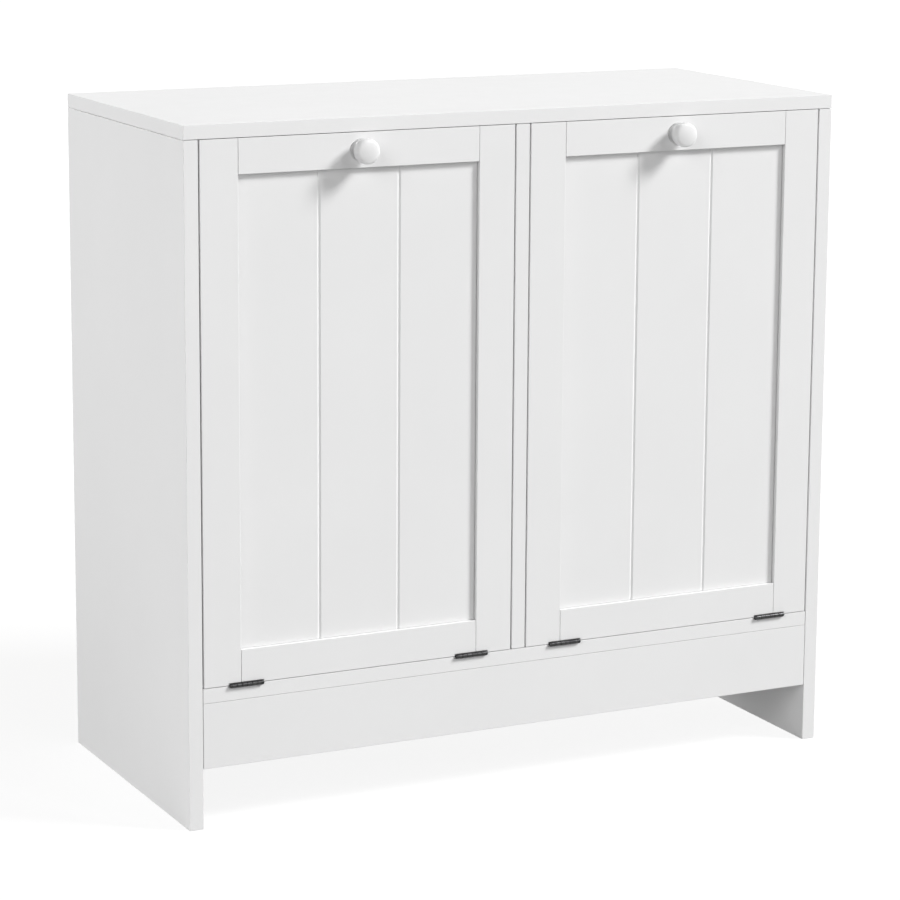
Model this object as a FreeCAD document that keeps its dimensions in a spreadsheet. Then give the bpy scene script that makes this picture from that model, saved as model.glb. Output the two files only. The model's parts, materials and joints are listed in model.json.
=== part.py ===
"""Double tilt-out laundry hamper cabinet, in millimetres.

+X is the viewer's right, the doors face -Y and +Z is up. The origin is on the floor, in the middle
of the overall width and of the overall depth, knobs included.
"""
import FreeCAD, Part
import math
import os
import types

import Sketcher

SIZES = {
    # Cabinet
    "width": 832,
    "depth": 370,
    "height": 800,
    "board": 17,
    "top_board": 16,
    "edge_radius": 0.4,
    "seam": 0.8,
    "apron_seam": 0.4,
    "seam_depth": 2,
    "bottom_height": 147,
    "apron_clearance": 70.5,
    "back_thickness": 3,
    "back_inset": 10,
    "back_groove": 6,
    "slide_fit": 0.2,
    # Carcass fittings
    "dowel_radius": 4,
    "dowel_length": 30,
    "dowel_in_face": 10,
    "dowel_from_edge": 45,
    "cam_radius": 7.5,
    "cam_depth": 12,
    "cam_setback": 24,
    "cam_from_edge": 85,
    "cam_slot": 1.6,
    "cam_slot_length": 10.5,
    "cam_slot_depth": 2,
    "bolt_radius": 3,
    "bolt_thread_radius": 3.6,
    "bolt_in_face": 9,
    # Doors
    "door_thickness": 17,
    "side_gap": 2,
    "top_gap": 0.75,
    "hinge_gap": 0.8,
    "stile_width": 45,
    "rail_height": 40,
    "rail_seam": 0.5,
    "panel_recess": 5,
    "panel_thickness": 5,
    "panel_groove": 8,
    "panel_reveal": 0.8,
    "panel_foot": 0.3,
    "reveal_depth": 2.5,
    "vee_width": 4.4,
    "vee_depth": 1.2,
    # Knobs
    "knob_projection": 24,
    "knob_radius": 14.6,
    "knob_base_radius": 13.5,
    "knob_base": 2,
    "knob_neck_radius": 8.5,
    "knob_neck": 4.4,
    "knob_rim": 14.2,
    "knob_back": 6.4,
    "knob_back_radius": 9.6,
    "knob_face_radius": 10.8,
    "knob_dome": 3.1,
    "knob_screw_radius": 2,
    "knob_screw_depth": 11,
    "knob_screw_head_radius": 4,
    "knob_screw_head": 2.2,
    # Hinges
    "hinge_length": 37.6,
    "hinge_inset": 51.25,
    "hinge_proud": 1,
    "barrel_radius": 2.85,
    "barrel_clearance": 0.4,
    "knuckle_gap": 0.25,
    "knuckle_ease": 0.4,
    "dome": 2.4,
    "pin_radius": 1.2,
    "pin_fit": 0.05,
    "leaf": 1,
    "leaf_width": 14,
    "hinge_screw_spread": 26,
    "hinge_screw_setback": 8.5,
    # Wood screws
    "screw_radius": 1.5,
    "screw_head_radius": 2.9,
    "screw_head": 1.5,
    "screw_length": 13,
    # Magnetic catches
    "catch_width": 30,
    "catch_depth": 14,
    "catch_height": 13,
    "catch_ears": 50,
    "catch_ear": 3,
    "catch_screw_spread": 40,
    "magnet_width": 24,
    "magnet_depth": 10,
    "magnet_height": 8,
    "magnet_proud": 0.6,
    "strike_width": 30,
    "strike_height": 10,
    "strike": 1.2,
    "strike_gap": 0.3,
    # Bag frames
    "wire_radius": 3,
    "wire_bend": 20,
    "wire_seat": 0.1,
    "frame_side_clearance": 18.25,
    "frame_back_clearance": 80,
    "frame_top_clearance": 119.25,
    "frame_leg": 95,
    "crossbar_offset": 12,
    "clip": 1.5,
    "clip_width": 14,
    "clip_ear": 12,
    "clip_first": 35,
    "clip_pitch": 45,
    # Bags
    "cloth": 1.6,
    "cloth_fit": 0.4,
    "bag_floor_clearance": 28,
    "bag_round": 22,
    "flap_drop": 34,
    "flap_end": 8,
    # Stays
    "open_angle": 35,
    "stay_radius": 250,
    "stay_start": 7,
    "stay_spread": 30,
    "stay": 2.5,
    "stay_width": 16,
    "stay_wall_gap": 12.5,
    "stay_play": 0.3,
    "slot_slack": 0.5,
    "stud_radius": 3,
    "stud_head_radius": 5,
    "stud_head": 1.8,
    "stud_foot_radius": 6,
    "stud_thread": 7.5,
    "stud_thread_radius": 2.4,
    "bracket": 2,
    "bracket_width": 22,
    "bracket_height": 48,
    "bracket_screw_spread": 34,
}
KNUCKLES = 6
OVERCUT = 1

doc = FreeCAD.newDocument("laundry_hamper_cabinet")
sheet = doc.addObject("Spreadsheet::Sheet", "sizes")
for row, (alias, number) in enumerate(SIZES.items(), start=1):
    sheet.set(f"A{row}", alias)
    sheet.set(f"B{row}", str(number))
    sheet.setAlias(f"B{row}", alias)
doc.recompute()


class Size:
    """A length or angle as an expression over the sheet's cells, with its present value."""

    def __init__(self, text, value):
        self.text = text
        self.value = value

    def __add__(self, other):
        other = as_size(other)
        return Size(f"({self.text} + {other.text})", self.value + other.value)

    def __sub__(self, other):
        other = as_size(other)
        return Size(f"({self.text} - {other.text})", self.value - other.value)

    def __mul__(self, other):
        other = as_size(other)
        return Size(f"({self.text} * {other.text})", self.value * other.value)

    def __truediv__(self, other):
        other = as_size(other)
        return Size(f"({self.text} / {other.text})", self.value / other.value)

    def __neg__(self):
        return self * -1

    __rmul__ = __mul__


def as_size(number):
    """A plain number counts as a size too."""
    return number if isinstance(number, Size) else Size(f"({number})", number)


def sine(angle):
    return Size(f"sin({angle.text})", math.sin(math.radians(angle.value)))


def cosine(angle):
    return Size(f"cos({angle.text})", math.cos(math.radians(angle.value)))


def root(square):
    return Size(f"sqrt({square.text})", math.sqrt(square.value))


s = types.SimpleNamespace(**{alias: Size(f"sizes.{alias}", float(sheet.get(alias))) for alias in SIZES})

# Planes that several pieces share
front = (s.knob_projection - s.depth) / 2
back = front + s.depth
half = s.width / 2
inner_half = half - s.board
top_under = s.height - s.top_board
floor_top = s.bottom_height + s.board
back_face = back - s.back_inset - s.back_thickness
bay_half = (s.width - 3 * s.board) / 4
bay_centre = bay_half + s.board / 2
door_half = bay_half - s.side_gap
door_bottom = floor_top + s.hinge_gap
door_top = top_under - s.top_gap
door_back = front + s.door_thickness
axis_y = front - s.hinge_proud
axis_z = floor_top + s.hinge_gap / 2
arm_far = bay_half - s.stay_wall_gap
arm_near = arm_far - s.stay
frame_half = arm_near - s.frame_side_clearance
frame_level = top_under - s.frame_top_clearance
leg_y = door_back + s.wire_radius + s.wire_seat
front_bar = leg_y + s.wire_bend + s.crossbar_offset
rear_bar = back_face - s.frame_back_clearance

TURNS = {
    "+x": FreeCAD.Rotation(FreeCAD.Vector(0, 1, 0), 90),
    "-x": FreeCAD.Rotation(FreeCAD.Vector(0, 1, 0), -90),
    "+y": FreeCAD.Rotation(FreeCAD.Vector(1, 0, 0), -90),
    "-y": FreeCAD.Rotation(FreeCAD.Vector(1, 0, 0), 90),
    "+z": FreeCAD.Rotation(),
    "-z": FreeCAD.Rotation(FreeCAD.Vector(1, 0, 0), 180),
}
nodes = []


def bind(item, **sizes):
    """Bind properties of an object to sizes."""
    for name, size in sizes.items():
        item.setExpression(name, as_size(size).text)


def place(item, point):
    """Bind an object's position to three sizes."""
    for axis, size in zip("xyz", point):
        item.setExpression(f"Placement.Base.{axis}", as_size(size).text)


def node(name, item):
    """Name a finished piece and list it for its own file."""
    item.Label = name
    nodes.append(item)
    return item


def box(name, corner, size):
    item = doc.addObject("Part::Box", name)
    bind(item, Length=size[0], Width=size[1], Height=size[2])
    place(item, corner)
    return item


def rod(name, start, way, radius, length):
    """A round bar from start along one of the six ways."""
    item = doc.addObject("Part::Cylinder", name)
    item.Placement = FreeCAD.Placement(FreeCAD.Vector(), TURNS[way])
    bind(item, Radius=radius, Height=length)
    place(item, start)
    return item


def fuse(name, *pieces):
    item = doc.addObject("Part::MultiFuse", name)
    item.Shapes = list(pieces)
    return item


def cut(name, base, *tools):
    item = doc.addObject("Part::Cut", name)
    item.Base = base
    item.Tool = tools[0] if len(tools) == 1 else fuse(f"{name}_tools", *tools)
    return item


def group(name, pieces):
    """Separate solids that share one node."""
    item = doc.addObject("Part::Compound", name)
    item.Links = pieces
    return node(name, item)


def shifted(point, way, distance):
    """The point moved along one of the six ways."""
    moved = list(point)
    index = "xyz".index(way[1])
    step = as_size(distance)
    moved[index] = as_size(moved[index]) + (step if way[0] == "+" else -step)
    return tuple(moved)


def opposite(way):
    return ("-" if way[0] == "+" else "+") + way[1]


def side_way(side):
    """The way that points to the given side, -1 for left and 1 for right."""
    return "+x" if side > 0 else "-x"


# Sketched bodies


def new_sketch(body, name, role):
    sketch = body.newObject("Sketcher::SketchObject", name)
    plane = [item for item in body.Origin.OriginFeatures if item.Role == role][0]
    sketch.AttachmentSupport = [(plane, "")]
    sketch.MapMode = "FlatFace"
    return sketch


def spot(point):
    """The present place of a point given by two sizes."""
    return FreeCAD.Vector(as_size(point[0]).value, as_size(point[1]).value, 0)


def pin(sketch, curve, end, point):
    """Hold an end or the centre of a curve at a point given by two sizes."""
    for kind, size, axis in (("DistanceX", point[0], -2), ("DistanceY", point[1], -1)):
        size = as_size(size)
        if size.value == 0:
            sketch.addConstraint(Sketcher.Constraint("PointOnObject", curve, end, axis))
            continue
        ends = (-1, 1, curve, end) if size.value > 0 else (curve, end, -1, 1)
        length = size if size.value > 0 else -size
        bound = sketch.addConstraint(Sketcher.Constraint(kind, *ends, length.value))
        sketch.setExpression(f"Constraints[{bound}]", length.text)


def end_at(sketch, curve, point):
    """Which end of a curve lies at the point, because arcs are kept counter-clockwise."""
    return 2 if sketch.getPoint(curve, 2).isEqual(spot(point), 1e-6) else 1


def outline(sketch, path):
    """A closed outline: each step is a point for a line, or two points for an arc through the first."""
    ends = [step[1] if isinstance(step, list) else step for step in path]
    curves = []
    for index, step in enumerate(path):
        start = spot(ends[index - 1])
        if isinstance(step, list):
            curve = Part.Arc(start, spot(step[0]), spot(step[1]))
        else:
            curve = Part.LineSegment(start, spot(step))
        curves.append(sketch.addGeometry(curve))
    for index, curve in enumerate(curves):
        after = (index + 1) % len(curves)
        end = end_at(sketch, curve, ends[index])
        start = end_at(sketch, curves[after], ends[index])
        sketch.addConstraint(Sketcher.Constraint("Coincident", curve, end, curves[after], start))
        pin(sketch, curve, end, ends[index])
    for step, curve in zip(path, curves):
        if isinstance(step, list):
            through = sketch.addGeometry(Part.Point(spot(step[0])), True)
            pin(sketch, through, 1, step[0])
            sketch.addConstraint(Sketcher.Constraint("PointOnObject", through, 1, curve))


def circle(sketch, centre, radius):
    curve = sketch.addGeometry(Part.Circle(spot(centre), FreeCAD.Vector(0, 0, 1), radius.value))
    pin(sketch, curve, 3, centre)
    bound = sketch.addConstraint(Sketcher.Constraint("Radius", curve, radius.value))
    sketch.setExpression(f"Constraints[{bound}]", radius.text)


def pad(name, role, path, length, corner):
    """A body with one outline, padded by a length. Returns the body, its sketch and its pad."""
    body = doc.addObject("PartDesign::Body", name)
    sketch = new_sketch(body, f"{name}_outline", role)
    outline(sketch, path)
    feature = body.newObject("PartDesign::Pad", f"{name}_pad")
    feature.Profile = sketch
    bind(feature, Length=length)
    place(body, corner)
    return body, sketch, feature


def board(name, corner, size, radius=s.edge_radius):
    """A board with every edge rounded."""
    corners = [(0, 0), (size[0], 0), (size[0], size[1]), (0, size[1])]
    body, _, feature = pad(name, "XY_Plane", corners, size[2], corner)
    doc.recompute()
    rounding = body.newObject("PartDesign::Fillet", f"{name}_edges")
    rounding.Base = (feature, [""])
    rounding.UseAllEdges = True
    bind(rounding, Radius=radius)
    return body


def seated_board(name, corner, size, seams):
    """A board that stands back from its neighbours by a shadow line, round cores that bear on them."""
    corner = [as_size(part) for part in corner]
    size = [as_size(part) for part in size]
    inset = [part + s.seam_depth for part in corner]
    inner = [part - s.seam_depth * 2 for part in size]
    cores = []
    for way, seam in seams.items():
        axis = "xyz".index(way[1])
        reach = seam + s.seam_depth
        start, length = list(inset), list(inner)
        start[axis] = corner[axis] if way[0] == "-" else corner[axis] + size[axis] - reach
        length[axis] = reach
        cores.append(box(f"{name}_core", start, length))
        size[axis] = size[axis] - seam
        if way[0] == "-":
            corner[axis] = corner[axis] + seam
    return fuse(name, board(f"{name}_board", corner, size), *cores) if cores else board(name, corner, size)


# Fasteners


def screw(name, head, way):
    """A countersunk wood screw: head is the middle of its flat face, way is where it points."""
    cone = doc.addObject("Part::Cone", f"{name}_head")
    cone.Placement = FreeCAD.Placement(FreeCAD.Vector(), TURNS[way])
    bind(cone, Radius1=s.screw_head_radius, Radius2=s.screw_radius, Height=s.screw_head)
    place(cone, head)
    shank = rod(f"{name}_shank", head, way, s.screw_radius, s.screw_length)
    return fuse(name, cone, shank)


def dowel(name, joint, way):
    """A wooden dowel across a joint: way points from the face of one board into the edge of the other."""
    start = shifted(joint, opposite(way), s.dowel_in_face)
    return rod(name, start, way, s.dowel_radius, s.dowel_length)


def cam_fitting(name, joint, way, face):
    """A cam lock and its bolt: way points into the board that holds the cam, face out of its open face."""
    thread = rod(f"{name}_thread", joint, opposite(way), s.bolt_thread_radius, s.bolt_in_face)
    stem = rod(f"{name}_stem", joint, way, s.bolt_radius, s.cam_setback)
    bolt = fuse(f"{name}_bolt", thread, stem)
    open_face = shifted(shifted(joint, way, s.cam_setback), face, s.board / 2)
    drum = rod(f"{name}_drum", open_face, opposite(face), s.cam_radius, s.cam_depth)
    slot_size = {axis: s.cam_slot for axis in "xyz"}
    slot_size[way[1]] = s.cam_slot_length
    slot_size[face[1]] = s.cam_slot_depth * 2
    slot_corner = open_face
    for axis in "xyz":
        slot_corner = shifted(slot_corner, f"-{axis}", slot_size[axis] / 2)
    slot = box(f"{name}_slot", slot_corner, [slot_size[axis] for axis in "xyz"])
    return cut(f"{name}_cam", drum, slot, bolt), bolt, drum


# Carcass


def carcass_joints():
    """Every dowel and cam fitting, by the two boards that it joins."""
    dowels = {}
    cams = {}
    near = front + s.dowel_from_edge
    far = back_face - s.dowel_from_edge
    cam_near = front + s.cam_from_edge
    cam_far = back_face - s.cam_from_edge
    middle = s.bottom_height + s.board / 2
    for side, wall in ((-1, "left_side_panel"), (1, "right_side_panel")):
        inward = side_way(-side)
        wall_x = side * (half - s.board / 2)
        seam_x = side * inner_half
        for index, y in enumerate((near, far)):
            name = f"{wall}_{index}"
            dowels[f"{name}_top_dowel"] = ("top_panel", wall, (wall_x, y, top_under), "-z")
            dowels[f"{name}_floor_dowel"] = (wall, "bottom_panel", (seam_x, y, middle), inward)
        for index, y in enumerate((cam_near, cam_far)):
            name = f"{wall}_{index}"
            cams[f"{name}_top"] = ("top_panel", wall, (wall_x, y, top_under), "-z", inward)
            cams[f"{name}_floor"] = (wall, "bottom_panel", (seam_x, y, middle), inward, "-z")
        apron_middle = (s.bottom_height + s.apron_clearance) / 2
        joint = (seam_x, front + s.board / 2, apron_middle)
        dowels[f"{wall}_apron_dowel"] = (wall, "front_apron", joint, inward)
        joint = (side * bay_centre, front + s.board / 2, s.bottom_height)
        dowels[f"{wall}_apron_top_dowel"] = ("bottom_panel", "front_apron", joint, "-z")
    for index, (y, cam_y) in enumerate(((near, cam_near), (far, cam_far))):
        dowels[f"divider_{index}_top_dowel"] = ("top_panel", "centre_divider", (0, y, top_under), "-z")
        dowels[f"divider_{index}_floor_dowel"] = ("bottom_panel", "centre_divider", (0, y, floor_top), "+z")
        cams[f"divider_{index}_top"] = ("top_panel", "centre_divider", (0, cam_y, top_under), "-z", "+x")
        cams[f"divider_{index}_floor"] = ("bottom_panel", "centre_divider", (0, cam_y, floor_top), "+z", "+x")
    return dowels, cams


def carcass(fixings):
    """The boards, cut for each other and for their dowels, cams and the fixings screwed to them."""
    ends = {"-x": s.seam, "+x": s.seam}
    boards = {
        "top_panel": ((-half, front, top_under), (s.width, s.depth, s.top_board), {}),
        "left_side_panel": ((-half, front, 0), (s.board, s.depth, top_under), {"+z": s.seam}),
        "right_side_panel": ((inner_half, front, 0), (s.board, s.depth, top_under), {"+z": s.seam}),
        "centre_divider": ((-s.board / 2, front, floor_top),
                           (s.board, back_face - front, top_under - floor_top), {"-z": s.seam, "+z": s.seam}),
        "bottom_panel": ((-inner_half, front, s.bottom_height), (inner_half * 2, s.depth, s.board), ends),
        "front_apron": ((-inner_half, front, s.apron_clearance),
                        (inner_half * 2, s.board, s.bottom_height - s.apron_clearance),
                        {**ends, "+z": s.apron_seam}),
    }
    tools = {name: list(fixings.get(name, [])) for name in boards}

    groove_half = inner_half + s.back_groove
    groove_bottom = floor_top - s.back_groove
    groove_height = top_under - floor_top + s.back_groove * 2
    groove = box("back_groove", (-groove_half, back_face, groove_bottom),
                 (groove_half * 2, s.back_thickness + s.slide_fit, groove_height))
    for name in ("top_panel", "left_side_panel", "right_side_panel", "bottom_panel"):
        tools[name].append(groove)
    node("back_panel", box("back_panel", (s.slide_fit - groove_half, back_face, groove_bottom + s.slide_fit),
                           ((groove_half - s.slide_fit) * 2, s.back_thickness,
                            groove_height - s.slide_fit * 2)))

    joints, cam_joints = carcass_joints()
    dowels = []
    for name, (face_board, edge_board, joint, way) in joints.items():
        dowels.append(dowel(name, joint, way))
        tools[face_board].append(dowels[-1])
        tools[edge_board].append(dowels[-1])
    bolts = []
    locks = []
    for name, (face_board, cam_board, joint, way, face) in cam_joints.items():
        lock, bolt, drum = cam_fitting(name, joint, way, face)
        bolts.append(bolt)
        locks.append(lock)
        tools[face_board].append(bolt)
        tools[cam_board] += [bolt, drum]
    for name, (corner, size, seams) in boards.items():
        node(name, cut(name, seated_board(f"{name}_blank", corner, size, seams), *tools[name]))
    group("dowels", dowels)
    group("cam_bolts", bolts)
    group("cam_locks", locks)


# Hinges


def knuckle(name, x, length):
    """One knuckle of the barrel, its two edges eased."""
    straight = length - s.knuckle_ease * 2
    pieces = [rod(f"{name}_barrel", (x + s.knuckle_ease, axis_y, axis_z), "+x", s.barrel_radius, straight)]
    for way, end in (("-x", x + s.knuckle_ease), ("+x", x + s.knuckle_ease + straight)):
        ease = doc.addObject("Part::Cone", f"{name}_ease")
        ease.Placement = FreeCAD.Placement(FreeCAD.Vector(), TURNS[way])
        bind(ease, Radius1=s.barrel_radius, Radius2=s.barrel_radius - s.knuckle_ease, Height=s.knuckle_ease)
        place(ease, (end, axis_y, axis_z))
        pieces.append(ease)
    return fuse(name, *pieces)


def hinge_leaf(name, centre, way, first, screws):
    """One leaf of a butt hinge, lying on the side of the axis that way points to."""
    pitch = s.hinge_length / KNUCKLES
    start = centre - s.hinge_length / 2
    level = axis_z + (s.hinge_gap / 2 if way == "+z" else -(s.hinge_gap / 2 + s.leaf))
    inset = s.barrel_radius + s.barrel_clearance
    pieces = [box(f"{name}_plate", (start, axis_y + inset, level),
                  (s.hinge_length, s.leaf_width - inset, s.leaf))]
    for index in range(first, KNUCKLES, 2):
        x = start + pitch * index + s.knuckle_gap / 2
        length = pitch - s.knuckle_gap
        pieces.append(knuckle(f"{name}_knuckle_{index}", x, length))
        pieces.append(box(f"{name}_root_{index}", (x, axis_y, level), (length, inset, s.leaf)))
    bore = rod(f"{name}_bore", (start, axis_y, axis_z), "+x", s.pin_radius + s.pin_fit, s.hinge_length)
    return node(name, cut(name, fuse(f"{name}_blank", *pieces), bore, *screws))


def hinge_pin(name, centre):
    """The pin, with a domed head at each end."""
    pieces = [rod(f"{name}_shaft", (centre - s.hinge_length / 2, axis_y, axis_z), "+x",
                  s.pin_radius, s.hinge_length)]
    for side in (-1, 1):
        head = doc.addObject("Part::Ellipsoid", f"{name}_head")
        head.Placement = FreeCAD.Placement(FreeCAD.Vector(), TURNS[side_way(side)])
        head.Angle1 = 0
        head.Angle2 = 90
        bind(head, Radius1=s.dome, Radius2=s.barrel_radius, Radius3=s.barrel_radius)
        place(head, (centre + side * s.hinge_length / 2, axis_y, axis_z))
        pieces.append(head)
    return node(name, fuse(name, *pieces))


def hinge(name, centre):
    """A butt hinge let into the door's bottom edge and the cabinet floor. Returns screws and cuts."""
    screws = {"-z": [], "+z": []}
    for way, level in (("-z", floor_top), ("+z", door_bottom)):
        for side in (-1, 1):
            head = (centre + side * s.hinge_screw_spread / 2, axis_y + s.hinge_screw_setback, level)
            screws[way].append(screw(f"{name}_screw_{way[0]}{side}", head, way))
    hinge_leaf(f"{name}_frame_leaf", centre, "-z", 0, screws["-z"])
    hinge_leaf(f"{name}_door_leaf", centre, "+z", 1, screws["+z"])
    hinge_pin(f"{name}_pin", centre)
    barrel_half = s.hinge_length / 2 + s.dome + s.barrel_clearance
    relief = rod(f"{name}_relief", (centre - barrel_half, axis_y, axis_z), "+x",
                 s.barrel_radius + s.barrel_clearance, barrel_half * 2)
    bed = box(f"{name}_bed", (centre - s.hinge_length / 2, axis_y, floor_top - s.leaf),
              (s.hinge_length, s.leaf_width, s.hinge_gap + s.leaf * 2))
    return screws, [relief, bed]


# Doors


def door_frame(name, centre, tools):
    """Two stiles and two rails with stub tenons, around a loose panel with a reveal and two V grooves."""
    door_height = door_top - door_bottom
    rail_length = (door_half - s.stile_width) * 2
    groove_y = front + s.panel_recess
    opening_low = door_bottom + s.rail_height
    opening_high = door_top - s.rail_height
    reach = rail_length / 2 + s.panel_groove

    across = box(f"{name}_groove", (centre - reach, groove_y, door_bottom),
                 (reach * 2, s.panel_thickness, door_height))
    for side, label in ((-1, "left_stile"), (1, "right_stile")):
        edge = centre + (side * door_half if side < 0 else door_half - s.stile_width)
        stile = board(f"{name}_{label}_board", (edge, front, door_bottom),
                      (s.stile_width, s.door_thickness, door_height))
        node(f"{name}_{label}", cut(f"{name}_{label}", stile, across, *tools[label]))

    panel_half = reach - s.slide_fit
    panel_low = opening_low - s.panel_groove
    panel_height = opening_high - opening_low + s.panel_groove * 2
    slot = box(f"{name}_rail_groove", (centre - reach, groove_y, panel_low),
               (reach * 2, s.panel_thickness, panel_height))
    tenon_length = s.panel_groove - s.slide_fit
    for label, low in (("top_rail", opening_high), ("bottom_rail", door_bottom)):
        rail = board(f"{name}_{label}_board", (centre - rail_length / 2 + s.rail_seam, front, low),
                     (rail_length - s.rail_seam * 2, s.door_thickness, s.rail_height))
        tenons = box(f"{name}_{label}_tenons", (centre - rail_length / 2 - tenon_length, groove_y, low),
                     (rail_length + tenon_length * 2, s.panel_thickness, s.rail_height))
        blank = fuse(f"{name}_{label}_blank", rail, tenons)
        node(f"{name}_{label}", cut(f"{name}_{label}", blank, slot, *tools[label]))

    path = [(0, 0)]
    for side in (-1, 1):
        vee = panel_half + side * rail_length / 6
        path += [(vee - s.vee_width / 2, 0), (vee, s.vee_depth), (vee + s.vee_width / 2, 0)]
    path += [(panel_half * 2, 0), (panel_half * 2, s.panel_thickness), (0, s.panel_thickness)]
    panel, _, _ = pad(f"{name}_panel_sheet", "XY_Plane", path, panel_height - s.slide_fit * 2,
                      (centre - panel_half, groove_y, panel_low + s.slide_fit))
    opening = box(f"{name}_opening", (centre - rail_length / 2, groove_y, opening_low),
                  (rail_length, s.reveal_depth, opening_high - opening_low))
    field_low = opening_low + s.panel_foot
    field = box(f"{name}_field", (centre - rail_length / 2 + s.panel_reveal, groove_y, field_low),
                (rail_length - s.panel_reveal * 2, s.reveal_depth, opening_high - s.panel_reveal - field_low))
    node(f"{name}_panel", cut(f"{name}_panel", panel, cut(f"{name}_reveal", opening, field)))


def knob(name, centre, level):
    """A turned knob, base, waist and ball-like head, and the machine screw that holds it."""
    body = doc.addObject("PartDesign::Body", f"{name}_turning")
    sketch = new_sketch(body, f"{name}_profile", "XY_Plane")
    bevel = s.knob_base / 2
    waist_end = (s.knob_back_radius, -s.knob_back)
    face_edge = (s.knob_face_radius, s.knob_dome - s.knob_projection)
    dome_radius = (s.knob_face_radius * s.knob_face_radius + s.knob_dome * s.knob_dome) / (s.knob_dome * 2)
    halfway = s.knob_face_radius / 2
    dome_height = root(dome_radius * dome_radius - halfway * halfway) - dome_radius + s.knob_projection
    outline(sketch, [
        (0, 0),
        (s.knob_base_radius, 0),
        (s.knob_base_radius, -bevel),
        (s.knob_base_radius - bevel, -s.knob_base),
        [(s.knob_neck_radius, -s.knob_neck), waist_end],
        [(s.knob_radius, -s.knob_rim), face_edge],
        [(halfway, -dome_height), (0, -s.knob_projection)],
    ])
    turning = body.newObject("PartDesign::Revolution", f"{name}_revolution")
    turning.Profile = sketch
    turning.ReferenceAxis = (sketch, ["V_Axis"])
    turning.Angle = 360
    place(body, (centre, front, level))
    head = rod(f"{name}_screw_head", (centre, door_back, level), "+y",
               s.knob_screw_head_radius, s.knob_screw_head)
    shank = rod(f"{name}_screw_shank", (centre, door_back, level), "-y",
                s.knob_screw_radius, s.door_thickness + s.knob_screw_depth)
    bolt = node(f"{name}_screw", fuse(f"{name}_screw", head, shank))
    node(name, cut(name, body, bolt))
    return bolt


def catch(name, centre):
    """A magnetic catch under the top and its strike plate on the door. Returns both sets of screws."""
    level = top_under - s.catch_height / 2
    face = door_back + s.strike + s.strike_gap
    magnet = box(f"{name}_magnet", (centre - s.magnet_width / 2, face, level - s.magnet_height / 2),
                 (s.magnet_width, s.magnet_depth, s.magnet_height))
    body_y = face + s.magnet_proud
    housing = board(f"{name}_block", (centre - s.catch_width / 2, body_y, top_under - s.catch_height),
                    (s.catch_width, s.catch_depth, s.catch_height))
    ears = board(f"{name}_ears", (centre - s.catch_ears / 2, body_y, top_under - s.catch_ear),
                 (s.catch_ears, s.catch_depth, s.catch_ear))
    top_screws = []
    for side in (-1, 1):
        head = (centre + side * s.catch_screw_spread / 2, body_y + s.catch_depth / 2,
                top_under - s.catch_ear)
        top_screws.append(screw(f"{name}_screw{side}", head, "+z"))
    node(name, cut(name, fuse(f"{name}_blank", housing, ears), magnet, *top_screws))
    node(f"{name}_magnet", magnet)
    strike_screw = screw(f"{name}_strike_screw", (centre, door_back + s.strike, level), "-y")
    plate = box(f"{name}_strike_blank", (centre - s.strike_width / 2, door_back, level - s.strike_height / 2),
                (s.strike_width, s.strike, s.strike_height))
    node(f"{name}_strike_plate", cut(f"{name}_strike_plate", plate, strike_screw))
    return top_screws, strike_screw


# Bags and their frames


def bend(name, centre, first, second):
    """A quarter of a bent wire, from the first way out of the bend's centre to the second."""
    item = doc.addObject("Part::Torus", name)
    axes = [TURNS[way].multVec(FreeCAD.Vector(0, 0, 1)) for way in (first, second)]
    rotation = FreeCAD.Rotation(axes[0], axes[1], axes[0].cross(axes[1]), "XYZ")
    item.Placement = FreeCAD.Placement(FreeCAD.Vector(), rotation)
    item.Angle3 = 90
    bind(item, Radius1=s.wire_bend, Radius2=s.wire_radius)
    place(item, centre)
    return item


def bag_frame(name, centre):
    """A bent wire with two legs down the door, two arms and a rear bar, and a bar across its front."""
    pieces = []
    for side, label in ((-1, "left"), (1, "right")):
        x = centre + side * frame_half
        pieces.append(rod(f"{name}_{label}_leg", (x, leg_y, frame_level - s.frame_leg), "+z",
                          s.wire_radius, s.frame_leg - s.wire_bend))
        elbow = (x, leg_y + s.wire_bend, frame_level - s.wire_bend)
        pieces.append(bend(f"{name}_{label}_elbow", elbow, "-y", "+z"))
        pieces.append(rod(f"{name}_{label}_arm", (x, leg_y + s.wire_bend, frame_level), "+y",
                          s.wire_radius, rear_bar - leg_y - s.wire_bend * 2))
        corner = (x - side * s.wire_bend, rear_bar - s.wire_bend, frame_level)
        pieces.append(bend(f"{name}_{label}_corner", corner, side_way(side), "+y"))
    pieces.append(rod(f"{name}_rear_bar", (centre - frame_half + s.wire_bend, rear_bar, frame_level), "+x",
                      s.wire_radius, (frame_half - s.wire_bend) * 2))
    pieces.append(rod(f"{name}_front_bar", (centre - frame_half, front_bar, frame_level), "+x",
                      s.wire_radius, frame_half * 2))
    return node(name, fuse(name, *pieces))


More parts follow.
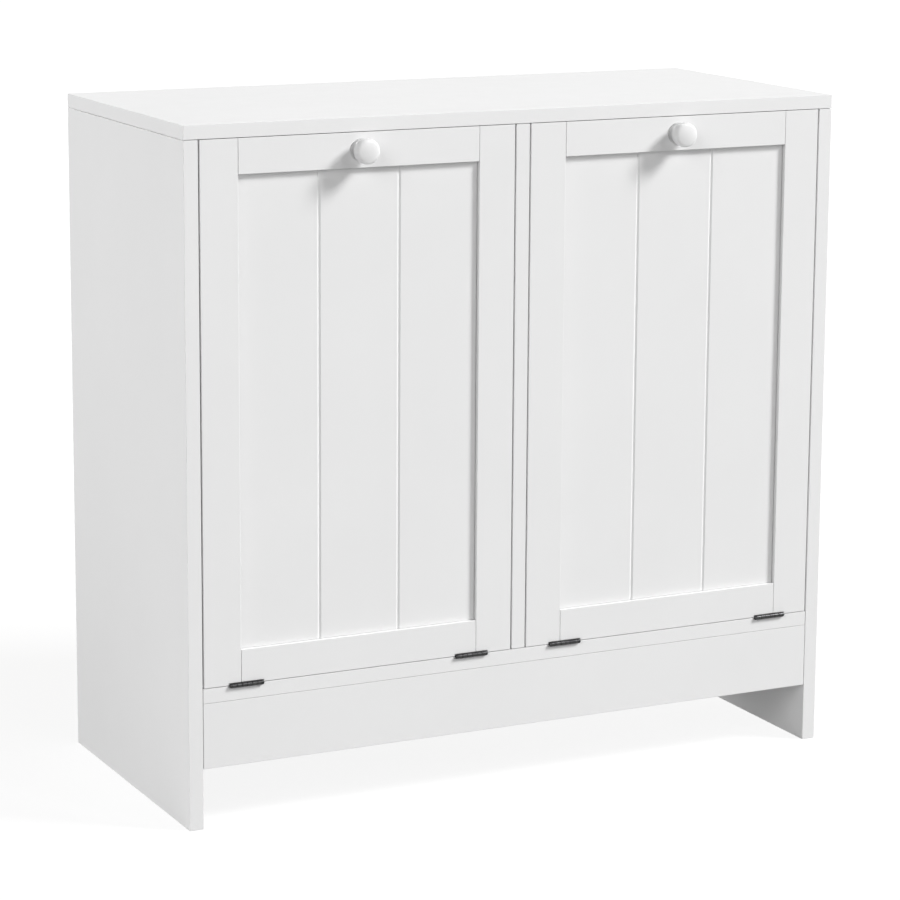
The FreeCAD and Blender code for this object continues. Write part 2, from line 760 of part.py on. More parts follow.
def frame_clips(name, centre):
    """Saddle clips that hold the legs of a bag frame to the stiles. Returns their screws."""
    clips = []
    screws = []
    for side in (-1, 1):
        x = centre + side * frame_half
        for index in range(2):
            label = f"{name}_{'left' if side < 0 else 'right'}_{index}"
            low = frame_level - s.clip_first - s.clip_pitch * index - s.clip_width / 2
            ear = s.wire_radius + s.clip + s.clip_ear
            plate = box(f"{label}_plate", (x if side > 0 else x - ear, door_back, low),
                        (ear, s.clip, s.clip_width))
            arch = rod(f"{label}_arch", (x, leg_y, low), "+z", s.wire_radius + s.clip, s.clip_width)
            wire = rod(f"{label}_wire", (x, leg_y, low), "+z", s.wire_radius + s.wire_seat / 2, s.clip_width)
            foot = box(f"{label}_foot", (x - s.wire_radius, door_back, low),
                       (s.wire_radius * 2, s.wire_radius, s.clip_width))
            behind = box(f"{label}_behind", (x - ear, door_back - s.clip * 2, low),
                         (ear * 2, s.clip * 2, s.clip_width))
            head = (x + side * (ear - s.clip_ear / 2), door_back + s.clip, low + s.clip_width / 2)
            screws.append(screw(f"{label}_screw", head, "-y"))
            clips.append(cut(label, fuse(f"{label}_blank", plate, arch), wire, foot, behind, screws[-1]))
    group(name, clips)
    return screws


def bag(name, centre):
    """An open fabric bag with a flap folded over each bar of its frame."""
    inside = s.wire_radius + s.cloth_fit
    outside = inside + s.cloth
    half_width = frame_half - inside
    low = floor_top + s.bag_floor_clearance
    rim = frame_level + outside
    near = front_bar + inside
    length = rear_bar - inside - near
    shell = board(f"{name}_shell", (centre - half_width, near, low),
                  (half_width * 2, length, rim - low + s.bag_round), s.bag_round)
    hollow = board(f"{name}_hollow", (centre - half_width + s.cloth, near + s.cloth, low + s.cloth),
                   ((half_width - s.cloth) * 2, length - s.cloth * 2, rim - low + s.bag_round * 2),
                   s.bag_round - s.cloth)
    trim = box(f"{name}_trim", (centre - half_width, near, rim),
               (half_width * 2, length, s.bag_round + OVERCUT))
    pieces = [cut(f"{name}_pouch", shell, hollow, trim)]

    strip = outside * 2
    fold_level = frame_level + inside
    flap_low = frame_level - s.flap_drop
    drop = rim - flap_low
    inset = s.bag_round + s.flap_end
    across = (half_width - inset) * 2
    along = length - inset * 2
    for label, bar, step in (("front", front_bar, -1), ("rear", rear_bar, 1)):
        x = centre - across / 2
        skirt = bar - outside if step < 0 else bar + inside
        pieces.append(box(f"{name}_{label}_fold", (x, bar - outside, fold_level), (across, strip, s.cloth)))
        pieces.append(box(f"{name}_{label}_skirt", (x, skirt, flap_low), (across, s.cloth, drop)))
    for side, label in ((-1, "left"), (1, "right")):
        bar = centre + side * frame_half
        y = near + inset
        skirt = bar - outside if side < 0 else bar + inside
        pieces.append(box(f"{name}_{label}_fold", (bar - outside, y, fold_level), (strip, along, s.cloth)))
        pieces.append(box(f"{name}_{label}_skirt", (skirt, y, flap_low), (s.cloth, along, drop)))
    return node(name, fuse(name, *pieces))


# Stays


def stay_point(angle):
    """Height and depth of a point of the stay's circle about the hinge axis."""
    return axis_y + s.stay_radius * sine(angle), axis_z + s.stay_radius * cosine(angle)


def slotted_arm(name, x):
    """A flat arm, pivoted on the door at one end, with a slot that slides on the cabinet's stud.

    The pivot and the stud are at one radius from the hinge axis, so the arm turns half as far
    as the door does and its slot stays straight.
    """
    slope = s.stay_start + s.stay_spread / 2
    along = (cosine(slope), -sine(slope))
    across = (sine(slope), cosine(slope))

    def local(distance, offset):
        return along[0] * distance + across[0] * offset, along[1] * distance + across[1] * offset

    def obround(first, last, radius):
        return [local(last, radius), [local(last + radius, 0), local(last, -radius)],
                local(first, -radius), [local(first - radius, 0), local(first, radius)]]

    slot_start = s.stay_radius * 2 * sine(s.stay_spread / 2)
    slot_end = s.stay_radius * 2 * sine((s.stay_spread + s.open_angle) / 2)
    groove = s.stud_radius + s.stay_play
    y, z = stay_point(s.stay_start)
    end = slot_end + groove
    body, sketch, _ = pad(name, "YZ_Plane", obround(as_size(0), end, s.stay_width / 2), s.stay, (x, y, z))
    outline(sketch, obround(slot_start - s.slot_slack, slot_end + s.slot_slack, groove))
    circle(sketch, (0, 0), groove)
    return node(name, body)


def stay(name, centre, side):
    """A stay on one side of a door. Returns its bracket, the bracket's screws and the wall stud."""
    slotted_arm(f"{name}_arm", centre + (arm_near if side > 0 else -arm_far))

    outward = side_way(side)
    inward = side_way(-side)
    y, z = stay_point(s.stay_start)
    ear_far = arm_near - s.stay_play
    ear_near = ear_far - s.bracket
    plate_far = ear_far
    plate_near = ear_far - s.bracket_width
    plate_x = centre + (plate_near if side > 0 else -plate_far)
    plate = box(f"{name}_plate", (plate_x, door_back, z - s.bracket_height / 2),
                (s.bracket_width, s.bracket, s.bracket_height))
    ear = box(f"{name}_ear", (centre + (ear_near if side > 0 else -ear_far), door_back, z - s.stay_width / 2),
              (s.bracket, y - door_back, s.stay_width))
    eye = rod(f"{name}_eye", (centre + side * ear_near, y, z), outward, s.stay_width / 2, s.bracket)
    stud = rod(f"{name}_pivot", (centre + side * ear_near, y, z), outward, s.stud_radius,
               s.bracket + s.stay + s.stay_play * 2)
    cap = rod(f"{name}_pivot_head", (centre + side * (arm_far + s.stay_play), y, z), outward,
              s.stud_head_radius, s.stud_head)
    screws = []
    for step in (-1, 1):
        head = (centre + side * (plate_near + plate_far - s.bracket) / 2, door_back + s.bracket,
                z + step * s.bracket_screw_spread / 2)
        screws.append(screw(f"{name}_screw{step}", head, "-y"))
    bracket = cut(f"{name}_bracket", fuse(f"{name}_bracket_blank", plate, ear, eye, stud, cap), *screws)

    y, z = stay_point(s.stay_start + s.stay_spread)
    wall = (centre + side * bay_half, y, z)
    foot = rod(f"{name}_foot", wall, inward, s.stud_foot_radius, s.stay_wall_gap - s.stay_play)
    shoulder = rod(f"{name}_shoulder", wall, inward, s.stud_radius,
                   s.stay_wall_gap + s.stay + s.stay_play)
    knob_end = rod(f"{name}_stud_head", (centre + side * ear_far, y, z), inward,
                   s.stud_head_radius, s.stud_head)
    thread = rod(f"{name}_thread", wall, outward, s.stud_thread_radius, s.stud_thread)
    return bracket, screws, fuse(f"{name}_stud", foot, shoulder, knob_end, thread)


# Assembly


def hamper(name, side):
    """One door with its hinges, knob, catch, stays, bag frame and bag. Returns what the carcass holds."""
    centre = side * bay_centre
    door_screws = []
    floor_cuts = []
    frame_screws = []
    tools = {label: [] for label in ("left_stile", "right_stile", "top_rail", "bottom_rail")}
    for hinge_side, label in ((-1, "left"), (1, "right")):
        screws, cuts = hinge(f"{name}_{label}_hinge", centre + hinge_side * (door_half - s.hinge_inset))
        door_screws += screws["+z"]
        frame_screws += screws["-z"]
        floor_cuts += cuts + screws["-z"]
        tools[f"{label}_stile"] += cuts + screws["+z"]
        tools["bottom_rail"] += cuts + screws["+z"]
    bolt = knob(f"{name}_knob", centre, door_top - s.rail_height / 2)
    top_screws, strike_screw = catch(f"{name}_catch", centre)
    frame_screws += top_screws
    tools["top_rail"] += [bolt, strike_screw]
    door_screws.append(strike_screw)
    bag_frame(f"{name}_bag_frame", centre)
    bag(f"{name}_laundry_bag", centre)
    clip_screws = frame_clips(f"{name}_bag_frame_clips", centre)
    brackets = []
    studs = {}
    for index, (stay_side, label) in enumerate(((-1, "left"), (1, "right"))):
        bracket, screws, stud = stay(f"{name}_{label}_stay", centre, stay_side)
        brackets.append(bracket)
        studs[stay_side] = stud
        tools[f"{label}_stile"] += screws + clip_screws[index * 2:index * 2 + 2]
        door_screws += screws
    door_screws += clip_screws
    group(f"{name}_stay_brackets", brackets)
    group(f"{name}_screws", door_screws)
    door_frame(name, centre, tools)
    return floor_cuts, frame_screws, top_screws, studs


def main():
    fixings = {"bottom_panel": [], "top_panel": []}
    screws = []
    studs = []
    for name, side in (("left_door", -1), ("right_door", 1)):
        floor_cuts, frame_screws, top_screws, door_studs = hamper(name, side)
        fixings["bottom_panel"] += floor_cuts
        fixings["top_panel"] += top_screws
        screws += frame_screws
        outer_wall = "left_side_panel" if side < 0 else "right_side_panel"
        fixings.setdefault(outer_wall, []).append(door_studs[side])
        fixings.setdefault("centre_divider", []).append(door_studs[-side])
        studs += door_studs.values()
    carcass(fixings)
    group("carcass_screws", screws)
    group("stay_studs", studs)
    doc.recompute()
    for item in doc.Objects:
        if "Invalid" in item.State or "Error" in item.State:
            raise RuntimeError(f"{item.Name}: {item.State}")
    for item in nodes:
        if item.Shape.isNull() or not item.Shape.isValid():
            raise RuntimeError(f"{item.Label} has no valid shape")
    os.makedirs("parts", exist_ok=True)
    for item in nodes:
        item.Shape.exportStep(f"parts/{item.Label}.step")
    print(len(nodes), "pieces written")


main()
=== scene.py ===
"""A white double tilt-out laundry hamper cabinet, dressed for the camera.

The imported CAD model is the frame: its boards, fittings and wires stay, and get their finishes here. The two
cloth bags are made here as lofted shells that sag, and the two knobs as turned pieces. They stand for the
plainer solids of the CAD model. Units are metres. +X is the viewer's right, the doors face -Y and +Z is up.
"""
import json
import math
from collections import namedtuple

import bpy
import numpy as np
from mathutils import Matrix, Vector


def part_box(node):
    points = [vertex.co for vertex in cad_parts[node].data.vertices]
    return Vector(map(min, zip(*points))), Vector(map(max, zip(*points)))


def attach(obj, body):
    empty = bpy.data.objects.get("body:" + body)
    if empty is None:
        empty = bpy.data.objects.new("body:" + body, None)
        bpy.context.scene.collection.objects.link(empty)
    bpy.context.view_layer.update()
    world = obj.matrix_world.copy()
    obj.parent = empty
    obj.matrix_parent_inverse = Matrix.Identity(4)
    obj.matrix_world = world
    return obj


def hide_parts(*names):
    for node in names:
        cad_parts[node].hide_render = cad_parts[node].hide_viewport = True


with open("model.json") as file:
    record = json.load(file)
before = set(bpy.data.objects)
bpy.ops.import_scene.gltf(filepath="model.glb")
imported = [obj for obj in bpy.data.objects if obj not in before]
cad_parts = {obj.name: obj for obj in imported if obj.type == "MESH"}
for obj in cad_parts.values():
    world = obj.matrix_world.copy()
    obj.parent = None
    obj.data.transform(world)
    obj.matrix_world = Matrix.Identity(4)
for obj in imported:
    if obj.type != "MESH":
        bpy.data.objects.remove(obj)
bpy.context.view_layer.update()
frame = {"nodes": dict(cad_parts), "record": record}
mm = 0.001


# Shader steps

def put(tree, socket, value):
    """Links a socket to another one, or sets its number or colour."""
    if isinstance(value, bpy.types.NodeSocket):
        tree.links.new(value, socket)
    else:
        socket.default_value = value


def step(tree, kind, inputs=None, **settings):
    """Adds one shader node, sets its own settings, and fills its inputs by name or place."""
    made = tree.nodes.new("ShaderNode" + kind)
    for key, value in settings.items():
        setattr(made, key, value)
    for key, value in (inputs or {}).items():
        put(tree, made.inputs[key], value)
    return made


def new_finish(name, **numbers):
    """A material with its Principled shader. Numbers are the values that are the same all over."""
    material = bpy.data.materials.new(name)
    material.use_nodes = True
    tree = material.node_tree
    shader = tree.nodes["Principled BSDF"]
    for key, value in numbers.items():
        shader.inputs[key.replace("_", " ")].default_value = value
    return material, tree, shader


def object_point(tree):
    """The point on the piece, in metres of the shared frame."""
    return step(tree, "TexCoord").outputs["Object"]


def cloth_point(tree):
    """The point's place on the cloth, in metres round it and down it."""
    return step(tree, "TexCoord").outputs["UV"]


def stretched(tree, point, scale):
    """The point with each axis scaled, so that a noise on it becomes long along one of them."""
    return step(tree, "Mapping", {"Vector": point, "Scale": scale}).outputs["Vector"]


def noise(tree, point, scale, detail=2.0):
    """Soft random values, mostly from 0.3 to 0.7. The scale is about how many lumps lie along a metre."""
    return step(tree, "TexNoise", {"Vector": point, "Scale": scale, "Detail": detail}).outputs["Fac"]


def spread(tree, value, low, high, start=0.3, end=0.7):
    """Carries the values from start to end over to low to high, and holds them there."""
    return step(tree, "MapRange", {"Value": value, "From Min": start, "From Max": end,
                                   "To Min": low, "To Max": high}).outputs["Result"]


def math_step(tree, operation, first, second=0.0):
    """One step of arithmetic on one or two values."""
    return step(tree, "Math", {0: first, 1: second}, operation=operation).outputs["Value"]


def crossing_waves(tree, axes, names, length):
    """Two sines of one wave length, along two axes, multiplied: -1 to 1 in a chequered pattern."""
    first, second = [math_step(tree, "SINE", math_step(tree, "MULTIPLY", axes[name], 2 * math.pi / length))
                     for name in names]
    return math_step(tree, "MULTIPLY", first, second)


# Places of the colour sockets on a Mix node
MIX_FACTOR, MIX_LOW, MIX_HIGH, MIX_RESULT = 0, 6, 7, 2


def tint(tree, factor, low, high):
    """A colour between low, at factor 0, and high, at factor 1."""
    mixed = step(tree, "Mix", {MIX_FACTOR: factor, MIX_LOW: low, MIX_HIGH: high}, data_type="RGBA")
    return mixed.outputs[MIX_RESULT]


def bump(tree, height, depth, normal=None):
    """A bump whose height of 0 to 1 stands for a depth in metres."""
    inputs = {"Height": height, "Distance": depth, "Strength": 1.0}
    if normal:
        inputs["Normal"] = normal
    return step(tree, "Bump", inputs).outputs["Normal"]


def dress(tree, shader, colour, roughness, normal):
    """Gives the shader what changes over the surface."""
    put(tree, shader.inputs["Base Color"], colour)
    put(tree, shader.inputs["Roughness"], roughness)
    put(tree, shader.inputs["Normal"], normal)


def grey(level):
    """A colour without a hue."""
    return (level, level, level, 1)


# Finishes

def painted_board():
    """Sprayed satin paint on fibreboard: a faint cloudiness and orange peel."""
    material, tree, shader = new_finish("satin_white_paint", Specular_IOR_Level=0.13)
    point = object_point(tree)
    cloud = noise(tree, point, scale=7.0, detail=3.0)
    colour = tint(tree, spread(tree, cloud, 0, 1), grey(0.818), grey(0.83))
    roughness = spread(tree, noise(tree, point, scale=40.0), 0.29, 0.36)
    peel = bump(tree, noise(tree, point, scale=420.0, detail=1.0), 0.012 * mm)
    dress(tree, shader, colour, roughness, peel)
    return material


def knob_lacquer():
    """Thick lacquer on a turned knob, with the slightest waviness. Light soaks a few millimetres in."""
    material, tree, shader = new_finish(
        "white_knob_lacquer", Coat_Weight=0.15, Coat_Roughness=0.15, Specular_IOR_Level=0.3,
        Subsurface_Weight=1.0, Subsurface_Radius=(1.0, 1.0, 1.0), Subsurface_Scale=9 * mm)
    point = object_point(tree)
    colour = tint(tree, noise(tree, point, scale=60.0), grey(0.77), grey(0.795))
    roughness = spread(tree, noise(tree, point, scale=150.0), 0.30, 0.38)
    waves = bump(tree, noise(tree, point, scale=120.0, detail=1.0), 0.01 * mm)
    dress(tree, shader, colour, roughness, waves)
    return material


def dark_polish():
    """Dark polished plating: near black, rubbed in patches, with faint drawn lines along the barrels."""
    material, tree, shader = new_finish("dark_polished_plating", Metallic=1.0)
    point = object_point(tree)
    lines = noise(tree, stretched(tree, point, (60.0, 2600.0, 2600.0)), scale=1.0)
    patches = noise(tree, point, scale=260.0, detail=3.0)
    colour = tint(tree, spread(tree, patches, 0, 1), (0.035, 0.035, 0.036, 1), (0.07, 0.07, 0.071, 1))
    worn = math_step(tree, "ADD", patches, lines)
    roughness = spread(tree, worn, 0.17, 0.26, start=0.7, end=1.3)
    dress(tree, shader, colour, roughness, bump(tree, patches, 0.001 * mm))
    return material


def zinc_plate():
    """Bright zinc on stamped steel: a pale bluish sheen, cloudy, with rolling marks."""
    material, tree, shader = new_finish("zinc_plated_steel", Metallic=1.0)
    point = object_point(tree)
    cloud = noise(tree, point, scale=90.0, detail=4.0)
    grain = noise(tree, stretched(tree, point, (900.0, 900.0, 90.0)), scale=1.0)
    colour = tint(tree, spread(tree, cloud, 0, 1), (0.52, 0.53, 0.55, 1), (0.66, 0.66, 0.65, 1))
    dull = math_step(tree, "ADD", cloud, grain)
    roughness = spread(tree, dull, 0.30, 0.44, start=0.7, end=1.3)
    dress(tree, shader, colour, roughness, bump(tree, grain, 0.004 * mm))
    return material


def coated_wire():
    """White powder coat baked on wire: a fine grainy skin."""
    material, tree, shader = new_finish("white_powder_coat")
    point = object_point(tree)
    grain = noise(tree, point, scale=900.0)
    colour = tint(tree, noise(tree, point, scale=30.0), (0.80, 0.80, 0.79, 1), (0.85, 0.85, 0.84, 1))
    dress(tree, shader, colour, spread(tree, grain, 0.42, 0.56), bump(tree, grain, 0.03 * mm))
    return material


PRESS_MESH = 2.2 * mm


def hardboard():
    """Thin hardboard: painted white inside, raw brown behind with the mesh marks of its press."""
    material, tree, shader = new_finish("hardboard_sheet")
    point = object_point(tree)
    axes = step(tree, "SeparateXYZ", {"Vector": point}).outputs
    low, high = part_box("back_panel")
    behind = math_step(tree, "GREATER_THAN", axes["Y"], (low.y + high.y) / 2)
    fibres = noise(tree, point, scale=320.0, detail=5.0)
    patches = noise(tree, point, scale=6.0, detail=3.0)
    shade = math_step(tree, "ADD", fibres, math_step(tree, "MULTIPLY", patches, 0.5))
    brown = tint(tree, spread(tree, shade, 0, 1, start=0.5, end=1.0),
                 (0.23, 0.135, 0.07, 1), (0.36, 0.225, 0.125, 1))
    white = tint(tree, patches, (0.83, 0.83, 0.82, 1), (0.86, 0.86, 0.85, 1))
    marks = math_step(tree, "MULTIPLY", crossing_waves(tree, axes, "XZ", PRESS_MESH), behind)
    relief = bump(tree, marks, 0.06 * mm, bump(tree, fibres, 0.03 * mm))
    roughness = spread(tree, behind, 0.48, 0.74, start=0, end=1)
    dress(tree, shader, tint(tree, behind, white, brown), roughness, relief)
    return material


def beech():
    """Beech dowel rod: long pale grain with small dark flecks."""
    material, tree, shader = new_finish("beech_rod")
    point = object_point(tree)
    grain = noise(tree, stretched(tree, point, (60.0, 420.0, 420.0)), scale=1.0, detail=4.0)
    colour = tint(tree, spread(tree, grain, 0, 1), (0.52, 0.34, 0.19, 1), (0.68, 0.49, 0.30, 1))
    dress(tree, shader, colour, spread(tree, grain, 0.5, 0.65), bump(tree, grain, 0.05 * mm))
    return material


def moulded_plastic():
    """White moulded plastic with a fine spark-eroded skin."""
    material, tree, shader = new_finish("white_moulded_plastic")
    point = object_point(tree)
    skin = noise(tree, point, scale=1400.0)
    colour = tint(tree, noise(tree, point, scale=80.0), (0.78, 0.78, 0.76, 1), (0.83, 0.83, 0.81, 1))
    dress(tree, shader, colour, spread(tree, skin, 0.34, 0.46), bump(tree, skin, 0.01 * mm))
    return material


def ferrite():
    """Dark sintered magnet with a dull grainy face."""
    material, tree, shader = new_finish("ferrite_magnet")
    point = object_point(tree)
    grain = noise(tree, point, scale=1100.0, detail=4.0)
    colour = tint(tree, spread(tree, grain, 0, 1), (0.045, 0.045, 0.048, 1), (0.10, 0.10, 0.105, 1))
    dress(tree, shader, colour, spread(tree, grain, 0.45, 0.62), bump(tree, grain, 0.02 * mm))
    return material


THREAD_PITCH = 1.5 * mm


def canvas():
    """Plain-woven cotton: crossing threads on the cloth's own lengths, slubs, and a soft nap. The colour is
    darker over the lower thread crossings, a painted shade in the weave's hollows, and the slubs vary the
    thread's own tone.

    A thread passes over one crossing and under the next, so a wave is two threads long."""
    material, tree, shader = new_finish("natural_cotton_canvas", Sheen_Weight=0.25, Sheen_Roughness=0.5)
    point = cloth_point(tree)
    axes = step(tree, "SeparateXYZ", {"Vector": point}).outputs
    weave = crossing_waves(tree, axes, "XY", 2 * THREAD_PITCH)
    crossings = spread(tree, weave, 0, 1, start=-1, end=1)
    warp = noise(tree, stretched(tree, point, (700.0, 16.0, 1.0)), scale=1.0)
    weft = noise(tree, stretched(tree, point, (16.0, 700.0, 1.0)), scale=1.0)
    slubs = math_step(tree, "MULTIPLY", math_step(tree, "ADD", warp, weft), 0.5)
    # Painted shade: the lower thread crossings are darkened, on top of the slubs' own tone
    shade = math_step(tree, "ADD", math_step(tree, "MULTIPLY", crossings, 0.35), slubs)
    colour = tint(tree, spread(tree, shade, 0, 1, start=0.35, end=1.0),
                  (0.60, 0.55, 0.46, 1), (0.80, 0.755, 0.665, 1))
    relief = bump(tree, crossings, 0.16 * mm, bump(tree, slubs, 0.25 * mm))
    dress(tree, shader, colour, spread(tree, slubs, 0.82, 0.94), relief)
    return material


def sewing_thread():
    """Pale twisted thread of the bag's stitches and welts."""
    material, tree, shader = new_finish("pale_sewing_thread", Sheen_Weight=0.2)
    twist = noise(tree, object_point(tree), scale=1500.0)
    colour = tint(tree, twist, (0.70, 0.66, 0.58, 1), (0.84, 0.81, 0.74, 1))
    dress(tree, shader, colour, spread(tree, twist, 0.6, 0.8), bump(tree, twist, 0.05 * mm))
    return material


def dress_cad_nodes():
    """Gives each CAD node the finish of its material slot."""
    finishes = {
        "white_board": painted_board(),
        "hardboard": hardboard(),
        "dowel_wood": beech(),
        "zinc_steel": zinc_plate(),
        "knob_lacquer": knob_lacquer(),
        "hinge_metal": dark_polish(),
        "catch_plastic": moulded_plastic(),
        "magnet": ferrite(),
        "white_wire": coated_wire(),
        "canvas": canvas(),
    }
    for row in frame["record"]["subparts"]:
        mesh = frame["nodes"][row["node"]].data
        mesh.materials.clear()
        mesh.materials.append(finishes[row["material_slot"]])
    return finishes


# Meshes

def ring_quads(rows, count, wrap=False):
    """Quads of a grid whose columns go round: from a point to the next row, then to the next column.

    With wrap, the last row joins the first one too."""
    row, column = np.meshgrid(np.arange(rows if wrap else rows - 1), np.arange(count), indexing="ij")
    below, after = (row + 1) % rows, (column + 1) % count
    return np.stack([row * count + column, below * count + column,
                     below * count + after, row * count + after], axis=-1)


def joined(parts, place):
    """Several point and face arrays as one, moved to a place."""
    point_arrays, face_arrays = zip(*parts)
    starts = np.cumsum([0] + [len(points) for points in point_arrays[:-1]])
    faces = np.vstack([faces + start for faces, start in zip(face_arrays, starts)])
    return np.vstack(point_arrays) + place, faces.tolist()


def mesh_piece(name, points, faces, material, body, slot, uv=None):
    """A smooth-shaded piece from its point array and face list, riding on a body."""
    mesh = bpy.data.meshes.new(name)
    mesh.from_pydata(points.tolist(), [], faces)
    if uv is not None:
        mesh.uv_layers.new(name="cloth").data.foreach_set("uv", np.asarray(uv, np.float32).ravel())
    mesh.polygons.foreach_set("use_smooth", np.ones(len(mesh.polygons), bool))
    mesh.materials.append(material)
    mesh.update()
    piece = bpy.data.objects.new(name, mesh)
    bpy.context.collection.objects.link(piece)
    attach(piece, body)
    return piece


# Bags

# The wire that carries a bag, by its middle line, which lies a little inside the box of the CAD bag
WIRE_INSIDE = 5 * mm
bag_low, bag_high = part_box("left_door_laundry_bag")
WIRE_HALF_X = (bag_high.x - bag_low.x) / 2 - WIRE_INSIDE
WIRE_FRONT, WIRE_REAR = bag_low.y + WIRE_INSIDE, bag_high.y - WIRE_INSIDE
WIRE_LEVEL = bag_high.z - WIRE_INSIDE
WIRE_RADIUS = 3 * mm
BAG_HALF_Y = (WIRE_REAR - WIRE_FRONT) / 2
BAG_MIDDLE_Y = (WIRE_REAR + WIRE_FRONT) / 2
CORNER_RADIUS = 21 * mm
CORNER_COLUMNS = 10
COLUMN_STEP = 4.2 * mm

# Cloth, and the fold over the wire
CLOTH = 1.2 * mm
FOLD_CLEARANCE = 0.2 * mm
FOLD_RADIUS = WIRE_RADIUS + FOLD_CLEARANCE + CLOTH / 2

# Walls: how they narrow and bow. FOLDS, FOOT and SWELL levels are shares of the way down from the wire
WALL_ROWS = 46
WALL_BOW = 7 * mm
BOW_POWER = 0.8
TAPER = 3 * mm
FOLDS_START, FOLDS_FULL = 0.05, 0.5
FOOT_START, FOOT_HOLD = 0.85, 0.45
FOOT_SWELL, SWELL_LEVEL, SWELL_SPAN = 5 * mm, 0.93, 0.09
CORNER_FOLDS = 0.35

# Folds: their depth, the waves round the rim, and in radians their slant, start and shift on the other bag
WallFold = namedtuple("WallFold", "depth waves slant start other_bag")
WALL_FOLDS = (
    WallFold(depth=2.3 * mm, waves=9, slant=2.1, start=0.0, other_bag=0.7),
    WallFold(depth=1.5 * mm, waves=16, slant=-3.4, start=1.9, other_bag=1.0),
    WallFold(depth=0.9 * mm, waves=27, slant=2.6, start=0.0, other_bag=4.2),
)

# Bottom: the level of its edge, above that of the CAD bag, and its rounding and dip
FLOOR_LIFT = 12 * mm
BAG_FLOOR = bag_low.z + FLOOR_LIFT
FLOOR_ROUND = 18 * mm
FLOOR_SAG = 10 * mm
FLOOR_TIP = 0.4 * mm
FLOOR_EDGE_ROWS, FLOOR_RINGS = 7, 14

# Flaps that hang over the wire
FLAP_HEM = 631 * mm
FLAP_INSET = 30 * mm
FLAP_FLARE, FLARE_POWER = 1.7 * mm, 1.5
FLAP_WAVES, WAVE_SHARE, WAVE_START = 13, 0.4, 1.0
HEM_TURN = 1.1 * mm
HEM_HEIGHT = 11 * mm
HEM_INSIDE_ROWS, HEM_ROUND_ROWS, FLAP_ROWS, FOLD_ROWS = 3, 6, 9, 11

# Sewing
WELT_RADIUS = 1.3 * mm
WELT_PROUD = 0.9 * mm
WELT_SIDES = 8
WELT_END = np.array([[0, 1, 2, 3], [0, 3, 4, 7], [4, 5, 6, 7]])
STITCH_LENGTH, STITCH_WIDTH, STITCH_HEIGHT = 3.1 * mm, 0.75 * mm, 0.4 * mm
STITCH_PITCH = 4.6 * mm
STITCH_TAPER = 0.9
STITCH_ROWS, STITCH_SIDES = 6, 6
STITCH_END = np.array([[0, 1, 2, 3], [0, 3, 4, 5]])
HEM_SEAM = FLAP_HEM + 8 * mm
WIRE_SEAM = WIRE_LEVEL - 7 * mm

Rim = namedtuple("Rim", "along sign_x sign_y angle whole")


def rim_columns():
    """Columns round the rim, a rounded rectangle with the corner radius, anticlockwise from above.

    Corner arcs and straight runs take turns. Along a run the corner signs slide from one corner to the next;
    along an arc the outward angle makes a quarter turn. Gives the length along the rim, the two corner signs,
    the angle, and the whole length."""
    runs = [2 * (WIRE_HALF_X - CORNER_RADIUS), 2 * (BAG_HALF_Y - CORNER_RADIUS)] * 2
    arc = CORNER_RADIUS * math.pi / 2
    marks = np.concatenate([[0.0], np.cumsum([length for run in runs for length in (arc, run)])])
    counts = [count for run in runs for count in (CORNER_COLUMNS, round(run / COLUMN_STEP))]
    along = np.concatenate([np.linspace(start, end, count, endpoint=False)
                            for start, end, count in zip(marks[:-1], marks[1:], counts)])
    sign_x = np.interp(along, marks, [1, 1, -1, -1, -1, -1, 1, 1, 1])
    sign_y = np.interp(along, marks, [1, 1, 1, 1, -1, -1, -1, -1, 1])
    angle = np.interp(along, marks, np.radians([0, 90, 90, 180, 180, 270, 270, 360, 360]))
    return Rim(along, sign_x, sign_y, angle, marks[-1])


def rounded(rim, half_x, half_y):
    """Points of a rounded rectangle: the corner's centre, by its signs, plus the radius along the angle."""
    return ((half_x - CORNER_RADIUS) * rim.sign_x + CORNER_RADIUS * np.cos(rim.angle),
            (half_y - CORNER_RADIUS) * rim.sign_y + CORNER_RADIUS * np.sin(rim.angle))


def rim_directions(rim):
    """Unit vectors at each column: square out from the rim, along it, and up."""
    level = np.zeros_like(rim.angle)
    out = np.stack([np.cos(rim.angle), np.sin(rim.angle), level], axis=-1)
    along = np.stack([-np.sin(rim.angle), np.cos(rim.angle), level], axis=-1)
    up = np.tile([0.0, 0.0, 1.0], (len(level), 1))
    return out, along, up


def off_rim(rim, reach, z):
    """Points at a distance outside the wire's middle line, at a height."""
    x, y = rounded(rim, WIRE_HALF_X + reach, BAG_HALF_Y + reach)
    return np.stack([x, y, z + np.zeros_like(x)], axis=-1)


def on_flap(rim):
    """True on the straight runs that carry a flap, clear of the corners."""
    x, y = rounded(rim, WIRE_HALF_X, BAG_HALF_Y)
    return (np.abs(x) < WIRE_HALF_X - FLAP_INSET) | (np.abs(y) < BAG_HALF_Y - FLAP_INSET)


def soft_rise(value, start, end):
    """0 before start, 1 after end, and a smooth rise between them."""
    part = np.clip((value - start) / (end - start), 0, 1)
    return part * part * (3 - 2 * part)


